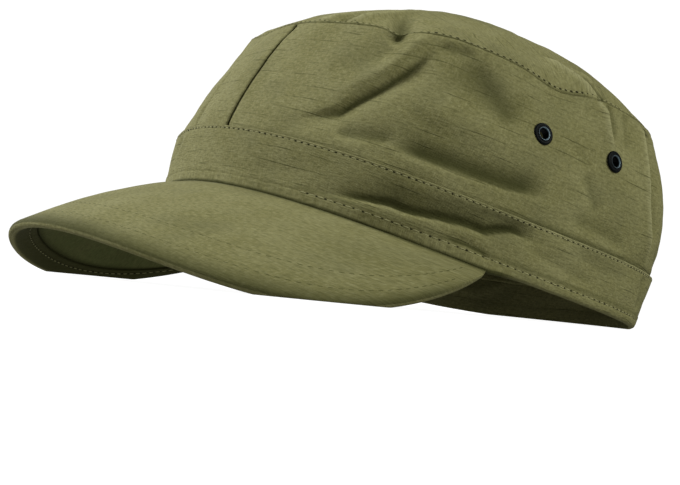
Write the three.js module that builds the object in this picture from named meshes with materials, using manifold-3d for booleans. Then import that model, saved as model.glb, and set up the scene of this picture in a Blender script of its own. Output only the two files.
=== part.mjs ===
// Fatigue cap with a soft pleated crown, a headband, a stiff curved peak and metal vent eyelets.
// Millimetres, +Z up, front of the cap towards -Y, the wearer's left towards +X.
// The cap lies as it rests by itself: on the sides of its peak and on the back of its headband.
import * as THREE from "three";
import { mergeVertices } from "three/addons/utils/BufferGeometryUtils.js";
import Module from "manifold-3d";

// Opening of the headband, an oval that is a little sharper in front than behind
const opening = { front: 83, rear: 109, half: 88, frontPower: 2, rearPower: 2.4, sideDip: 7 };

// Headband: height, thickness and how far its top edge leans out in front, at the sides and behind
const band = { height: 20.8, thickness: 1.95, leanFront: 0.8, leanSide: 0.5, leanRear: 3.6 };

// Section of the headband from the lower hem up the outside and down the inside:
// share of the height, and how far out of the band's surface
const bandSection = [
  { rise: 0, out: -0.5 },
  { rise: 0.035, out: 0.25 },
  { rise: 0.2, out: 0.25 },
  { rise: 0.25, out: 0 },
  { rise: 0.65, out: 0.2 },
  { rise: 0.98, out: 0.05 },
  { rise: 1, out: -1.2 },
  { rise: 0.65, out: -band.thickness },
  { rise: 0, out: -band.thickness },
];

// Oval seam between the crown's wall and its top panel
const topSeam = {
  front: -63, rear: 92, half: 76.3, frontPower: 2.45, rearPower: 2.6, frontHeight: 67.6, rearHeight: 70.8,
};

// Front of the crown: how far it is drawn forward half way up and at the top seam, and the dent that the
// seam has just right of its middle, with the angles in degrees over which they fade
const prow = { width: 20, middle: 3.2, top: 2.4, dent: 3, dentAngle: -12, dentWidth: 14, dentPower: 6 };

// Crown wall: cloth thickness, tuck behind the headband, hollow above it, and bulge in front, at the sides
// and behind
const wall = {
  thickness: 1.5, tuck: 4, inset: 2.3, hollowPower: 4, bulgeFront: -0.7, bulgeSide: 3, bulgeRear: 6.6,
  swellPower: 1.05, foldsFrom: 0.1,
};

// Pressed pleats: half width of the front panel in degrees at the band and at the top seam
const pleat = { lower: 7.9, upper: 7.2, lap: 2.7, step: 1.95, ramp: 5, end: 8 };

// Domed top panel, a little fuller behind its middle than before it
const dome = { rise: 27.5, bend: 2.3, backset: 7, thickness: 1.5, seamGap: 0.35, foldsTo: 0.9 };

// Stiff peak
const peak = {
  length: 58.8, halfSpan: 85.5, fan: 0.53, frontSlope: 23, sideSlope: 14, droop: 0.003, fullness: 0.01,
  cornerPower: 4.1, cornerRound: 0.8, tip: 0.995, rootInset: 0.8, bandGap: 0.4,
};

// Peak's board: half thickness at the band, over most of it, at the corners as a share, and where its
// lining is let in, the reach over which it thickens, and the cloth border round its underside
const board = {
  rootHalf: 1.3, half: 1.9, cornerShare: 0.6, sunkHalf: 0.6, thickenBy: 14, border: 9, ledge: 0.4,
  shortest: 8, leastInside: 0.3,
};

// Rows of points on the board: shares of the way to the border, one across the border, and round the
// outer edge the distance in from it with the share of the thickness left there
const insideRows = [0.35, 0.7];
const borderRow = 0.55;
const edgeRows = [
  { inset: 1.2, thickness: 0.86 },
  { inset: 0.3, thickness: 0.5 },
];

// Lining let into the underside: its faces below the board's middle, its ends, and its gaps to the band
// and to the border
const lining = { top: -0.9, bottom: -1.9, tip: 0.93, rootGap: 1.5, borderGap: 0.9 };

// Vent eyelets: place on the wall, flange radius, barrel and hole
const eyelet = {
  flange: 4.1, barrel: 2.55, bore: 2, hole: 3, outerFace: 1.1, boreFace: 0.8, seat: 0.35, edge: 0.25,
  innerFlange: 3.7, innerFace: -2.6, innerThick: 0.6, roll: 0.7, punch: 16,
};
const eyeletPlaces = [
  { name: "front", angle: 86.6, height: 0.585 },
  { name: "rear", angle: 108.9, height: 0.605 },
];

// Folds of the crown wall: a straight valley between two places (angle in degrees, share of the wall's
// height), its half width and its depth in millimetres; a negative depth is a ridge
const wallFolds = [
  { fromAngle: 53, fromHeight: 0.88, toAngle: 44, toHeight: 0.5, width: 5.5, depth: 2.2 },
  { fromAngle: 44, fromHeight: 0.5, toAngle: 31, toHeight: 0.17, width: 5.5, depth: 1.8 },
  { fromAngle: 47, fromHeight: 1, toAngle: 35, toHeight: 0.5, width: 6, depth: -1.2 },
  { fromAngle: 59, fromHeight: 0.84, toAngle: 84, toHeight: 0.64, width: 8, depth: 1.3 },
  { fromAngle: 51, fromHeight: 0.14, toAngle: 90, toHeight: 0.2, width: 6, depth: 1.4 },
  { fromAngle: 127, fromHeight: 0.95, toAngle: 129, toHeight: 0.23, width: 5, depth: 2.6 },
  { fromAngle: 129, fromHeight: 0.23, toAngle: 150, toHeight: 0, width: 5, depth: 2 },
  { fromAngle: 200, fromHeight: 0.95, toAngle: 206, toHeight: 0.1, width: 6, depth: 2 },
  { fromAngle: 296, fromHeight: 0.9, toAngle: 318, toHeight: 0.25, width: 7, depth: 1.8 },
  { fromAngle: 236, fromHeight: 0.14, toAngle: 285, toHeight: 0.18, width: 6, depth: 1.3 },
];

// Folds of the top panel in the same way, with places as shares of the way from the middle to the seam
const domeFolds = [
  { fromAngle: 22, fromShare: 0.99, toAngle: 25, toShare: 0.8, width: 5, depth: -1.2 },
  { fromAngle: 24, fromShare: 0.98, toAngle: 38, toShare: 0.72, width: 5, depth: -1.4 },
  { fromAngle: 45, fromShare: 1, toAngle: 44, toShare: 0.8, width: 5, depth: 1.6 },
  { fromAngle: 104, fromShare: 0.97, toAngle: 101, toShare: 0.62, width: 6, depth: -1.6 },
  { fromAngle: 128, fromShare: 1, toAngle: 126, toShare: 0.75, width: 6, depth: 1.8 },
];

// Creases of the headband, with places as shares of the band's height
const bandFolds = [
  { fromAngle: 46, fromRise: 0.36, toAngle: 70, toRise: 0.48, width: 4, depth: 1 },
  { fromAngle: 70, fromRise: 0.48, toAngle: 92, toRise: 0.72, width: 4.5, depth: 1 },
  { fromAngle: -5, fromRise: 0.9, toAngle: -12, toRise: 0.25, width: 4, depth: 0.8 },
];

// Cloth lengths the folds are measured in: millimetres for a degree round, and for the whole way up
const flat = { wallAcross: 1.5, wallUp: 52, domeAcross: 1.4, domeUp: 80, bandAcross: 1.5 };

// Heights of the crown's rows of points, closer where the wall curves in behind the band
const wallHeights = [-0.1, 0, 0.05, 0.12, 0.22, 0.34, 0.47, 0.6, 0.73, 0.86, 1];

// Distances from the pleat, in degrees, of the first columns of points on the wall
const nearPleat = [-pleat.lap, 0, 1.7, 3.4, pleat.ramp, pleat.end];

// Shares of the way out of the top panel's rings of points
const domeShares = [0, 0.3, 0.52, 0.7, 0.83, 0.92, 0.97, 1];

// Resting pose: the front is raised until the peak's sides meet the floor
const rest = { tilt: 12.1, settle: 0.6, shiftY: 11.9 };

// Faces round and along each piece
const facets = {
  bandRound: 84, wallRound: 60, panelAcross: 10, topRound: 72, peakAlong: 48, liningAlong: 40, liningOut: 4,
  eyeletRound: 14,
};

const cloth = { color: 0x6b6a44, roughness: 0.95, metalness: 0 };
const shadedCloth = { color: 0x4a4c2a, roughness: 0.97, metalness: 0 };
const blackenedMetal = { color: 0x2e3530, roughness: 0.42, metalness: 0.85 };

// Distance under which points are one point, and the small steps that directions are taken over
const weld = 1e-3;
const smallStep = 1e-3;
const eyeletStep = 0.02;

const radians = THREE.MathUtils.degToRad;
const mix = THREE.MathUtils.lerp;
const ease = (low, high, x) => THREE.MathUtils.smoothstep(x, low, high);

const wasm = await Module();
wasm.setup();

// Point of an oval whose front and rear halves have their own length and sharpness
function ovalPoint(angle, front, rear, half, frontPower, rearPower) {
  const ahead = Math.cos(angle);
  const aside = Math.sin(angle);
  const power = ahead > 0 ? frontPower : rearPower;
  const reach = Math.pow(Math.pow(Math.abs(ahead), power) + Math.pow(Math.abs(aside), power), -1 / power);
  return new THREE.Vector2(half * aside * reach, -(ahead > 0 ? front : rear) * ahead * reach);
}

const openingPoint = (angle) =>
  ovalPoint(angle, opening.front, opening.rear, opening.half, opening.frontPower, opening.rearPower);

// Level direction out of the opening
function outward(angle) {
  const along = openingPoint(angle + smallStep).sub(openingPoint(angle - smallStep));
  return new THREE.Vector2(along.y, -along.x).normalize();
}

// Value that changes from the front to the sides and the rear
function round(angle, front, side, rear) {
  const ahead = Math.cos(angle);
  const aside = Math.sin(angle);
  return (ahead > 0 ? front : rear) * ahead * ahead + side * aside * aside;
}

const rimHeight = (angle) => -opening.sideDip * Math.sin(angle) ** 2;

// Push of a table of folds at a place, in millimetres, with distances taken on the flattened cloth
function foldPush(folds, angle, share, low, high, across, up) {
  const degrees = (((THREE.MathUtils.radToDeg(angle) % 360) + 360) % 360);
  let push = 0;
  for (const fold of folds) {
    for (const turn of [0, 360]) {
      const from = new THREE.Vector2((fold.fromAngle + turn) * across, fold[low] * up);
      const to = new THREE.Vector2((fold.toAngle + turn) * across, fold[high] * up);
      const here = new THREE.Vector2(degrees * across, share * up);
      const line = to.clone().sub(from);
      const along = THREE.MathUtils.clamp(here.clone().sub(from).dot(line) / line.lengthSq(), 0, 1);
      const away = here.distanceTo(from.add(line.multiplyScalar(along)));
      push -= fold.depth * Math.exp(-((away / fold.width) ** 2));
    }
  }
  return push;
}

// Place on the headband's surface
function bandPoint(angle, rise, out) {
  const lean = round(angle, band.leanFront, band.leanSide, band.leanRear);
  const crease = foldPush(bandFolds, angle, rise, "fromRise", "toRise", flat.bandAcross, band.height);
  const level = openingPoint(angle).addScaledVector(outward(angle), lean * rise + out + crease);
  return new THREE.Vector3(level.x, level.y, rimHeight(angle) + band.height * rise);
}

// Share that fades on both sides of a direction, from 1 in it
function nearDirection(angle, middle, width) {
  const away = THREE.MathUtils.euclideanModulo(THREE.MathUtils.radToDeg(angle) - middle + 180, 360) - 180;
  return Math.exp(-((away / width) ** 2));
}

const seamHeight = (y) =>
  mix(topSeam.frontHeight, topSeam.rearHeight, (y - topSeam.front) / (topSeam.rear - topSeam.front));

const seamDent = (angle) => prow.dent * nearDirection(angle, prow.dentAngle, prow.dentWidth);

// Place on the seam between the wall and the top panel
function seamPoint(angle, inset) {
  const middle = (topSeam.front + topSeam.rear) / 2;
  const reach = (topSeam.rear - topSeam.front) / 2 - inset;
  const half = topSeam.half - inset;
  const level = ovalPoint(angle, reach, reach, half, topSeam.frontPower, topSeam.rearPower);
  const y = level.y + middle - prow.top * nearDirection(angle, 0, prow.width);
  return new THREE.Vector3(level.x, y, seamHeight(y) - seamDent(angle));
}

// Place on the crown's wall: height runs from 0 at the band's top edge to 1 at the top seam, and below 0
// the cloth goes on straight down behind the band
function wallPoint(angle, height, out) {
  const normal = outward(angle);
  if (height < 0) {
    return bandPoint(angle, 1 + (height * wall.tuck) / (-wallHeights[0] * band.height), out - wall.inset);
  }
  const lower = bandPoint(angle, 1, 0);
  const bulge = round(angle, wall.bulgeFront, wall.bulgeSide, wall.bulgeRear);
  const forward = prow.middle * Math.sin(Math.PI * height) * nearDirection(angle, 0, prow.width);
  const swell = bulge * Math.sin(Math.PI * Math.pow(height, wall.swellPower)) + forward;
  const hollow = wall.inset * (1 - height) ** wall.hollowPower;
  const fold = foldPush(wallFolds, angle, height, "fromHeight", "toHeight", flat.wallAcross, flat.wallUp);
  const push = swell - hollow + fold * ease(0, wall.foldsFrom, height) + out;
  const point = lower.lerp(seamPoint(angle, 0), height);
  point.x += normal.x * push;
  point.y += normal.y * push;
  return point;
}

const pleatAngle = (height) => mix(pleat.lower, pleat.upper, Math.max(height, 0));

// Place on the top panel: share runs from 0 in the middle to 1 at the seam
function domePoint(angle, share, inset) {
  const edge = seamPoint(angle, inset);
  const middle = (topSeam.front + topSeam.rear) / 2;
  const x = edge.x * share;
  const y = middle + (edge.y - middle) * share;
  const backwards = dome.backset * share * (1 - share) * Math.cos(angle);
  const rise = (dome.rise - inset) * (1 - Math.pow(share, dome.bend)) - backwards;
  const fade = 1 - ease(dome.foldsTo, 1, share);
  const fold = foldPush(domeFolds, angle, share, "fromShare", "toShare", flat.domeAcross, flat.domeUp);
  const dent = seamDent(angle) * Math.pow(share, prow.dentPower);
  return new THREE.Vector3(x, y, seamHeight(y) - dent + dome.seamGap + rise + fold * fade);
}

// Length of the peak along its ruling, with across from -1 at the right corner to 1 at the left corner
function peakReach(across) {
  const corner = Math.pow(1 - Math.pow(Math.abs(across), peak.cornerPower), peak.cornerRound);
  return peak.length * corner * (1 - peak.fullness * (1 - Math.cos(2 * Math.PI * across)));
}

// Place on the peak's middle surface, with share from 0 at the band to 1 at the outer edge
function peakMiddle(across, share) {
  const angle = radians(peak.halfSpan) * across;
  const slope = radians(peak.frontSlope + (peak.sideSlope * (1 - Math.cos(Math.PI * across))) / 2);
  const heading = peak.fan * angle;
  const reach = peakReach(across) * share;
  const root = openingPoint(angle).addScaledVector(outward(angle), -peak.rootInset);
  const drop = peak.bandGap + board.rootHalf / Math.cos(slope);
  return new THREE.Vector3(
    root.x + reach * Math.sin(heading) * Math.cos(slope),
    root.y - reach * Math.cos(heading) * Math.cos(slope),
    rimHeight(angle) - drop - reach * Math.sin(slope) - peak.droop * reach * reach,
  );
}

// Place at a height above the peak's middle surface
function peakPoint(across, share, lift) {
  const here = peakMiddle(across, share);
  const alongEdge = peakMiddle(across + smallStep, share).sub(peakMiddle(across - smallStep, share));
  const alongRuling = peakMiddle(across, share + smallStep).sub(peakMiddle(across, share - smallStep));
  const normal = alongRuling.cross(alongEdge).normalize();
  if (normal.z < 0) {
    normal.negate();
  }
  return here.addScaledVector(normal, lift);
}

// Share of the ruling where the underside's border begins
const borderShare = (across) =>
  Math.max(board.leastInside, 1 - board.border / Math.max(peakReach(across), board.shortest));

// Cap lying at rest: turned about the back of the opening and let down a little, with the cloth that
// would be below the floor flattened
function lieDown(point) {
  const tilt = radians(rest.tilt);
  const y = point.y - opening.rear;
  const turned = new THREE.Vector3(
    point.x,
    y * Math.cos(tilt) + point.z * Math.sin(tilt) + opening.rear * Math.cos(tilt) + rest.shiftY,
    -y * Math.sin(tilt) + point.z * Math.cos(tilt) - rest.settle,
  );
  turned.z = Math.max(turned.z, 0);
  return turned;
}

// Closed body from a three.js shape whose points are moved by a function of their place in the shape
function shapedBody(geometry, place) {
  const position = geometry.getAttribute("position");
  const uv = geometry.getAttribute("uv");
  for (let i = 0; i < position.count; i += 1) {
    const source = new THREE.Vector3().fromBufferAttribute(position, i);
    const moved = lieDown(place(source, uv.getX(i), uv.getY(i)));
    position.setXYZ(i, moved.x, moved.y, moved.z);
  }
  geometry.deleteAttribute("normal");
  geometry.deleteAttribute("uv");
  return facedOut(mergeVertices(geometry, weld));
}

// Turns the faces outwards where the shape came out mirrored
function facedOut(geometry) {
  const position = geometry.getAttribute("position");
  const index = Array.from(geometry.getIndex().array);
  const corner = (i) => new THREE.Vector3().fromBufferAttribute(position, i);
  const kept = [];
  let volume = 0;
  for (let i = 0; i < index.length; i += 3) {
    const [a, b, c] = index.slice(i, i + 3);
    if (a !== b && b !== c && c !== a) {
      kept.push([a, b, c]);
      volume += corner(a).dot(corner(b).cross(corner(c)));
    }
  }
  geometry.setIndex((volume < 0 ? kept.map(([a, b, c]) => [a, c, b]) : kept).flat());
  return geometry;
}

// Even or listed stations turned into a share along one side of a box, whose sides run from -0.5 to 0.5
const station = (value, list) => list[Math.round((value + 0.5) * (list.length - 1))];

function bandGeometry() {
  const rows = bandSection.length;
  const ring = new THREE.TorusGeometry(2, 1, rows, facets.bandRound);
  return shapedBody(ring, (source, u, v) => {
    const row = bandSection[Math.round(v * rows) % rows];
    return bandPoint(2 * Math.PI * u, row.rise, row.out);
  });
}

function wallColumns() {
  const between = facets.wallRound;
  const columns = nearPleat.map((offset) => ({ side: 1, offset }));
  for (let i = 1; i < between; i += 1) {
    columns.push({ side: 0, offset: i / between });
  }
  return columns.concat(nearPleat.map((offset) => ({ side: -1, offset })).reverse());
}

function columnAngle(column, height) {
  const edge = pleatAngle(height);
  if (column.side === 0) {
    return mix(edge + pleat.end, 360 - edge - pleat.end, column.offset);
  }
  return column.side > 0 ? edge + column.offset : 360 - edge - column.offset;
}

// Wall cloth next to the pleats lies behind the front panel's folded edges
function wallStep(degrees, height) {
  const fromPleat = Math.min(degrees, 360 - degrees) - pleatAngle(height);
  return -pleat.step * (1 - ease(0, pleat.ramp, fromPleat));
}

function wallGeometry() {
  const columns = wallColumns();
  const sheet = new THREE.BoxGeometry(1, 1, 1, columns.length - 1, wallHeights.length - 1, 1);
  return shapedBody(sheet, (source) => {
    const height = station(source.y, wallHeights);
    const degrees = columnAngle(station(source.x, columns), height);
    const depth = source.z > 0 ? 0 : -wall.thickness;
    return wallPoint(radians(degrees), height, depth + wallStep(degrees, height));
  });
}

function frontPanelGeometry() {
  const sheet = new THREE.BoxGeometry(1, 1, 1, facets.panelAcross, wallHeights.length - 1, 1);
  return shapedBody(sheet, (source) => {
    const height = station(source.y, wallHeights);
    const degrees = 2 * source.x * pleatAngle(height);
    return wallPoint(radians(degrees), height, source.z > 0 ? 0 : -wall.thickness);
  });
}

function topGeometry() {
  const last = 2 * domeShares.length - 1;
  const ball = new THREE.SphereGeometry(1, facets.topRound, last);
  return shapedBody(ball, (source, u, v) => {
    const ring = Math.round((1 - v) * last);
    const under = ring >= domeShares.length;
    const share = domeShares[under ? last - ring : ring];
    return domePoint(2 * Math.PI * u, share, under ? dome.thickness : 0);
  });
}

// Rows of the peak's board from the band to the rounded edge: share of the ruling, height of the top
// face and height of the underside, which is sunk where the lining lies
function boardRows(across) {
  const reach = Math.max(peakReach(across), board.shortest);
  const border = borderShare(across);
  const full = board.half * mix(board.cornerShare, 1, ease(0, board.thickenBy, peakReach(across)));
  const sunk = -Math.min(full, board.sunkHalf);
  return [
    { share: 0, top: board.rootHalf, under: sunk },
    ...insideRows.map((share) => ({ share: border * share, top: full, under: sunk })),
    { share: border - board.ledge / reach, top: full, under: sunk },
    { share: border + board.ledge / reach, top: full, under: -full },
    { share: mix(border, 1, borderRow), top: full, under: -full },
    ...edgeRows.map(({ inset, thickness }) => ({
      share: 1 - inset / reach,
      top: full * thickness,
      under: -full * thickness,
    })),
  ];
}

function boardGeometry() {
  const rows = boardRows(0).length;
  const sheet = new THREE.BoxGeometry(1, 1, 1, facets.peakAlong, rows - 1, 2);
  return shapedBody(sheet, (source) => {
    const across = 2 * source.x * peak.tip;
    const row = station(source.y, boardRows(across));
    const atEdge = source.y > 0.49 && source.z === 0;
    const share = atEdge ? 1 : row.share;
    return peakPoint(across, share, mix(row.under, row.top, source.z + 0.5));
  });
}

function liningGeometry() {
  const sheet = new THREE.BoxGeometry(1, 1, 1, facets.liningAlong, facets.liningOut, 1);
  return shapedBody(sheet, (source) => {
    const across = 2 * source.x * lining.tip;
    const outer = borderShare(across) - lining.borderGap / peakReach(across);
    const inner = lining.rootGap / peakReach(across);
    const lift = source.z > 0 ? lining.top : lining.bottom;
    return peakPoint(across, mix(inner, outer, source.y + 0.5), lift);
  });
}

// Place and direction of an eyelet on the cap at rest; side is 1 on the wearer's left and -1 on the right
function eyeletFrame(spot, side) {
  const step = eyeletStep;
  const angle = radians(spot.angle) * side;
  const at = (a, h) => lieDown(wallPoint(a, h, 0));
  const here = at(angle, spot.height);
  const around = at(angle + step, spot.height).sub(at(angle - step, spot.height));
  const upward = at(angle, spot.height + step).sub(at(angle, spot.height - step));
  const normal = around.cross(upward).normalize();
  const turn = new THREE.Quaternion().setFromUnitVectors(new THREE.Vector3(0, 1, 0), normal);
  return new THREE.Matrix4().compose(here, turn, new THREE.Vector3(1, 1, 1));
}

function eyeletGeometry(frame) {
  const outline = [
    [eyelet.bore, eyelet.boreFace],
    [eyelet.bore + eyelet.roll, eyelet.outerFace],
    [eyelet.flange - eyelet.roll, eyelet.outerFace],
    [eyelet.flange, eyelet.seat + eyelet.edge],
    [eyelet.flange, eyelet.seat],
    [eyelet.barrel, eyelet.seat],
    [eyelet.barrel, eyelet.innerFace + eyelet.innerThick],
    [eyelet.innerFlange, eyelet.innerFace + eyelet.innerThick],
    [eyelet.innerFlange, eyelet.innerFace],
    [eyelet.bore, eyelet.innerFace],
    [eyelet.bore, eyelet.boreFace],
  ].map(([radius, height]) => new THREE.Vector2(radius, height));
  const ring = new THREE.LatheGeometry(outline, facets.eyeletRound);
  ring.applyMatrix4(frame);
  ring.deleteAttribute("normal");
  ring.deleteAttribute("uv");
  return facedOut(mergeVertices(ring, weld));
}

function solidOf(geometry) {
  const vertProperties = new Float32Array(geometry.getAttribute("position").array);
  const triVerts = new Uint32Array(geometry.getIndex().array);
  return new wasm.Manifold(new wasm.Mesh({ numProp: 3, vertProperties, triVerts }));
}

function geometryOf(solid) {
  const mesh = solid.getMesh();
  const geometry = new THREE.BufferGeometry();
  geometry.setAttribute("position", new THREE.BufferAttribute(mesh.vertProperties, 3));
  geometry.setIndex(new THREE.BufferAttribute(mesh.triVerts, 1));
  return geometry;
}

// Wall with a round hole through the cloth at each eyelet
function piercedWall(frames) {
  let solid = solidOf(wallGeometry());
  for (const frame of frames) {
    const punch = new THREE.CylinderGeometry(eyelet.hole, eyelet.hole, eyelet.punch, facets.eyeletRound);
    punch.applyMatrix4(frame);
    punch.deleteAttribute("normal");
    punch.deleteAttribute("uv");
    solid = solid.subtract(solidOf(facedOut(mergeVertices(punch, weld))));
  }
  return geometryOf(solid);
}

const cap = new THREE.Group();

function addPiece(name, geometry, surface) {
  const piece = new THREE.Mesh(geometry, new THREE.MeshStandardMaterial(surface));
  piece.name = name;
  cap.add(piece);
}

const eyelets = [
  { side: "left", sign: 1 },
  { side: "right", sign: -1 },
].flatMap(({ side, sign }) =>
  eyeletPlaces.map((spot) => ({ name: `eyelet_${side}_${spot.name}`, frame: eyeletFrame(spot, sign) })),
);

addPiece("crown_wall", piercedWall(eyelets.map((one) => one.frame)), cloth);
addPiece("front_panel", frontPanelGeometry(), cloth);
addPiece("crown_top", topGeometry(), cloth);
addPiece("band", bandGeometry(), cloth);
addPiece("peak_board", boardGeometry(), cloth);
addPiece("peak_lining", liningGeometry(), shadedCloth);
for (const one of eyelets) {
  addPiece(one.name, eyeletGeometry(one.frame), blackenedMetal);
}

export default cap;
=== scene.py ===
import math

import bmesh
import bpy
import numpy as np
from mathutils import Matrix, Vector, noise


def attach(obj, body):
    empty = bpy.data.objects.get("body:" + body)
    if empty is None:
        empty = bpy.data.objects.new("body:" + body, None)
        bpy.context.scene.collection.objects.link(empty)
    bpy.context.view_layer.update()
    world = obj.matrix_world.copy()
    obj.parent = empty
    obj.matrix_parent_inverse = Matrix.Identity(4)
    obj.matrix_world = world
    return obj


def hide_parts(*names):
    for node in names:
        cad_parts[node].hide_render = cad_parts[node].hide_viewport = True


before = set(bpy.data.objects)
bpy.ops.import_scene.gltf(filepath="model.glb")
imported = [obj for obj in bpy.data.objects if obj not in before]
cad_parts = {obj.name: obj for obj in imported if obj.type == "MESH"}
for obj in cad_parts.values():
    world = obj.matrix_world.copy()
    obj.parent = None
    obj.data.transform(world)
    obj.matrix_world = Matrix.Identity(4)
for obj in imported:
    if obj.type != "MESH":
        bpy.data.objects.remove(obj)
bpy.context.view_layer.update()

print("frame loaded:", len(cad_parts), "nodes")


# shapes are worked out in millimetres and placed in metres
millimetre = 0.001

# camera: the photograph's viewing angle, a little above the floor
view = {"turn": 57, "height": 3.9, "distance": 679, "roll": 5.675, "lens": 91.59,
        "aimHeight": 48.5, "aimRight": -12.3, "aimUp": -25.7, "middle": 11.9}


def lookAxes(place, aim):
    back = (place - aim).normalized()
    right = Vector((0, 0, 1)).cross(back).normalized()
    return back, right, back.cross(right)


def makeCamera():
    turn, away = math.radians(view["turn"]), view["distance"]
    middle = Vector((0, view["middle"], 0))
    place = Vector((away * math.sin(turn), -away * math.cos(turn), view["height"])) + middle
    aim = Vector((0, 0, view["aimHeight"])) + middle
    back, right, up = lookAxes(place, aim)
    back, right, up = lookAxes(place, aim + right * view["aimRight"] + up * view["aimUp"])
    roll = math.radians(view["roll"])
    axisX = right * math.cos(roll) + up * math.sin(roll)
    axisY = up * math.cos(roll) - right * math.sin(roll)
    camera = bpy.data.objects.new("camera", bpy.data.cameras.new("camera"))
    camera.data.sensor_width = 36
    camera.data.lens = view["lens"]
    camera.data.clip_start = 0.01
    camera.matrix_world = Matrix((axisX, axisY, back)).transposed().to_4x4()
    camera.location = place * millimetre
    bpy.context.scene.collection.objects.link(camera)
    bpy.context.scene.camera = camera


makeCamera()
print("camera placed")


# sizes of the cap's cut, in millimetres; angles run from the front round the wearer's left
opening = {"front": 83, "rear": 109, "half": 88, "frontPower": 2, "rearPower": 2.4, "sideDip": 7}
topSeam = {"front": -63, "rear": 92, "half": 76.3, "frontPower": 2.45, "rearPower": 2.6,
           "frontHeight": 67.6, "rearHeight": 70.8}
restPose = {"tilt": 12.1, "settle": 0.6, "shiftY": 11.9}
# the front of the crown is drawn forward
prow = {"width": 20, "middle": 3.2, "top": 2.4}
# dents pull the wall down with the top seam; sags move only the seam, up where the drop is negative
seamDents = [{"at": -12, "width": 14, "drop": 3.0}]
seamSags = [{"at": 41.5, "width": 3.6, "drop": 1.8}, {"at": 55, "width": 10, "drop": -1.5},
            {"at": 87, "width": 10, "drop": 3.8}]


def ease(low, high, x):
    t = np.clip((x - low) / (high - low), 0, 1)
    return t * t * (3 - 2 * t)


def mix(a, b, t):
    return a + (b - a) * t


def bell(away, width):
    return np.exp(-((away / width) ** 2))


# an oval with its own roundness before and behind its middle
def ovalPoint(angle, front, rear, oval):
    ahead, aside = np.cos(angle), np.sin(angle)
    power = np.where(ahead > 0, oval["frontPower"], oval["rearPower"])
    reach = (np.abs(ahead) ** power + np.abs(aside) ** power) ** (-1 / power)
    return np.stack([oval["half"] * aside * reach, -np.where(ahead > 0, front, rear) * ahead * reach], -1)


def openingPoint(angle):
    return ovalPoint(angle, opening["front"], opening["rear"], opening)


def outward(angle):
    along = openingPoint(angle + 1e-3) - openingPoint(angle - 1e-3)
    normal = np.stack([along[..., 1], -along[..., 0]], -1)
    return normal / np.linalg.norm(normal, axis=-1, keepdims=True)


def roundValue(angle, front, side, rear):
    ahead, aside = np.cos(angle), np.sin(angle)
    return np.where(ahead > 0, front, rear) * ahead ** 2 + side * aside ** 2


def nearDirection(angle, middle, width):
    return bell((np.degrees(angle) - middle + 180) % 360 - 180, width)


def rimHeight(angle):
    return -opening["sideDip"] * np.sin(angle) ** 2


def lieDown(point):
    tilt = math.radians(restPose["tilt"])
    cosine, sine = math.cos(tilt), math.sin(tilt)
    y = point[..., 1] - opening["rear"]
    z = point[..., 2]
    turnedY = y * cosine + z * sine + opening["rear"] * cosine + restPose["shiftY"]
    turnedZ = -y * sine + z * cosine - restPose["settle"]
    return np.stack([point[..., 0], turnedY, np.maximum(turnedZ, 0)], -1)


# A fold is a valley along a path of places (degrees round, share up); a negative depth is a ridge. Wide holds
# its half widths left and right of the path, head and tail are the shares of its length that fade, power is
# its sharpness, dark is the painted shade in it, pale its paleness, partly wear and partly painted highlight,
# and line how broad that streak is.
def fold(path, wide, depth, head=None, tail=0.25, power=2, dark=0, pale=0, line=0.7):
    head = tail if head is None else head
    return dict(path=np.array(path, float), wide=wide, depth=depth, head=head, tail=tail, power=power,
                tone=pale - dark, line=line)


# across is millimetres for each degree, up the millimetres of the whole share
def foldField(folds, degrees, share, across, up):
    push = np.zeros_like(degrees)
    tone = np.zeros_like(degrees)
    for row in folds:
        path = row["path"]
        middle = path[:, 0].mean()
        here = np.stack([((degrees - middle + 180) % 360 - 180 + middle) * across, share * up], -1)
        path = path * [across, up]
        lengths = np.linalg.norm(np.diff(path, axis=0), axis=1)
        nearest = np.full(degrees.shape, 1e9)
        side = np.zeros_like(degrees)
        along = np.zeros_like(degrees)
        done = 0
        for a, b, length in zip(path[:-1], path[1:], lengths):
            way = (b - a) / length
            rel = here - a
            t = np.clip(rel @ way, 0, length)
            away = np.linalg.norm(rel - t[..., None] * way, axis=-1)
            closer = away < nearest
            nearest = np.where(closer, away, nearest)
            side = np.where(closer, way[0] * rel[..., 1] - way[1] * rel[..., 0], side)
            along = np.where(closer, (done + t) / lengths.sum(), along)
            done += length
        left, right = row["wide"]
        half = mix(right, left, ease(-1.2, 1.2, side))
        fade = ease(0, row["head"], along) * ease(0, row["tail"], 1 - along)
        push -= row["depth"] * (mix(0.1, 1, fade) * np.exp(-((nearest / half) ** row["power"])))
        # the tone streak: painted shade along valleys, paler lines along ridges, partly wear and partly
        # painted highlight
        tone += row["tone"] * (fade * bell(nearest, half * row["line"]))
    return push, tone


# smooth noise between about -1 and 1, in patches of the given size in millimetres
def rumple(x, y, scale, seed):
    flatX, flatY = np.ravel(x) / scale, np.ravel(y) / scale
    values = [noise.noise(Vector((a, b, seed))) for a, b in zip(flatX.tolist(), flatY.tolist())]
    return np.array(values).reshape(np.shape(x))


# headband
band = {"height": 20.8, "across": 1.5, "leanFront": 0.8, "leanSide": 0.5, "leanRear": 3.6, "hemStitch": 3.1,
        "topStitch": 1.0, "hemLine": 0.225, "columns": 880, "rows": 104, "outsideRows": 20}
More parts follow.
